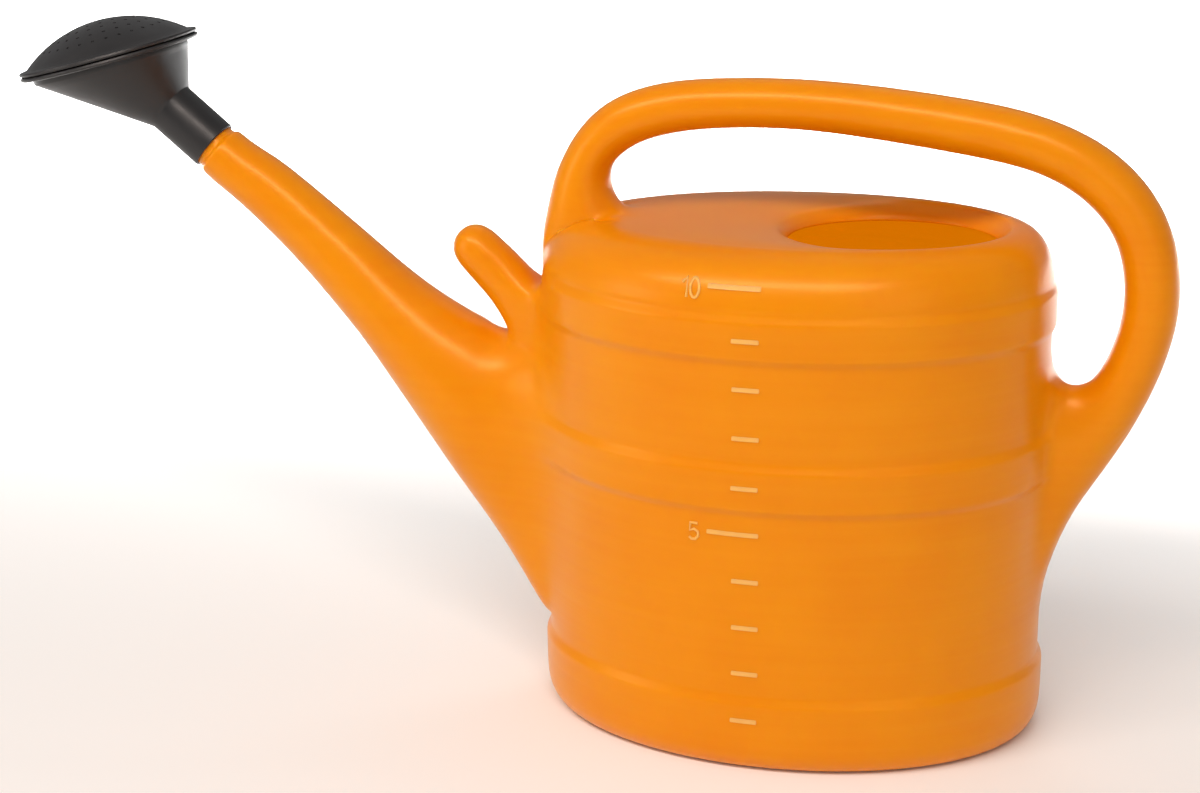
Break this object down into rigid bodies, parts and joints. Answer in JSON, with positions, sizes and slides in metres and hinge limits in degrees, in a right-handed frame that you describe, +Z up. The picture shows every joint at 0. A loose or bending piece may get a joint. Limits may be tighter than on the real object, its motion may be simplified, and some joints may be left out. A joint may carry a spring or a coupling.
{
  "type": "watering can",
  "caption": "Oval watering can with a hooped tube handle, a long raised spout, a parking peg and a push-on sprinkler rose.",
  "frame": {"origin": "centre of the oval base, on the floor", "axes": "+X along the can towards the rear of the handle, the spout pointing to -X; +Y across; +Z up"},
  "size_m": [0.6315, 0.1896, 0.3724],
  "materials": {
    "can_plastic": "satin blow-moulded polyethylene, orange",
    "rose_plastic": "satin injection-moulded polypropylene, charcoal"
  },
  "bodies": {
    "can": {"vessel": "can_plastic", "spout": "can_plastic", "handle": "can_plastic", "rose_peg": "can_plastic", "litre_marks": "can_plastic"},
    "rose_socket": {"rose_socket": "rose_plastic"},
    "rose": {"rose_funnel": "rose_plastic"},
    "rose_plate": {"rose_plate": "rose_plastic"}
  },
  "joints": [
    {"name": "rose_pull_off", "type": "slide", "parent": "can", "child": "rose_socket", "axis": [-0.7604, 0, 0.6494], "range_m": [0, 0.04]},
    {"name": "rose_turn", "type": "hinge", "parent": "rose_socket", "child": "rose", "pos_m": [-0.34461, 0, 0.31968], "axis": [-0.7604, 0, 0.6494], "continuous": true},
    {"name": "plate_pull_off", "type": "slide", "parent": "rose", "child": "rose_plate", "axis": [-0.2419, 0, 0.9703], "range_m": [0, 0.02]}
  ]
}
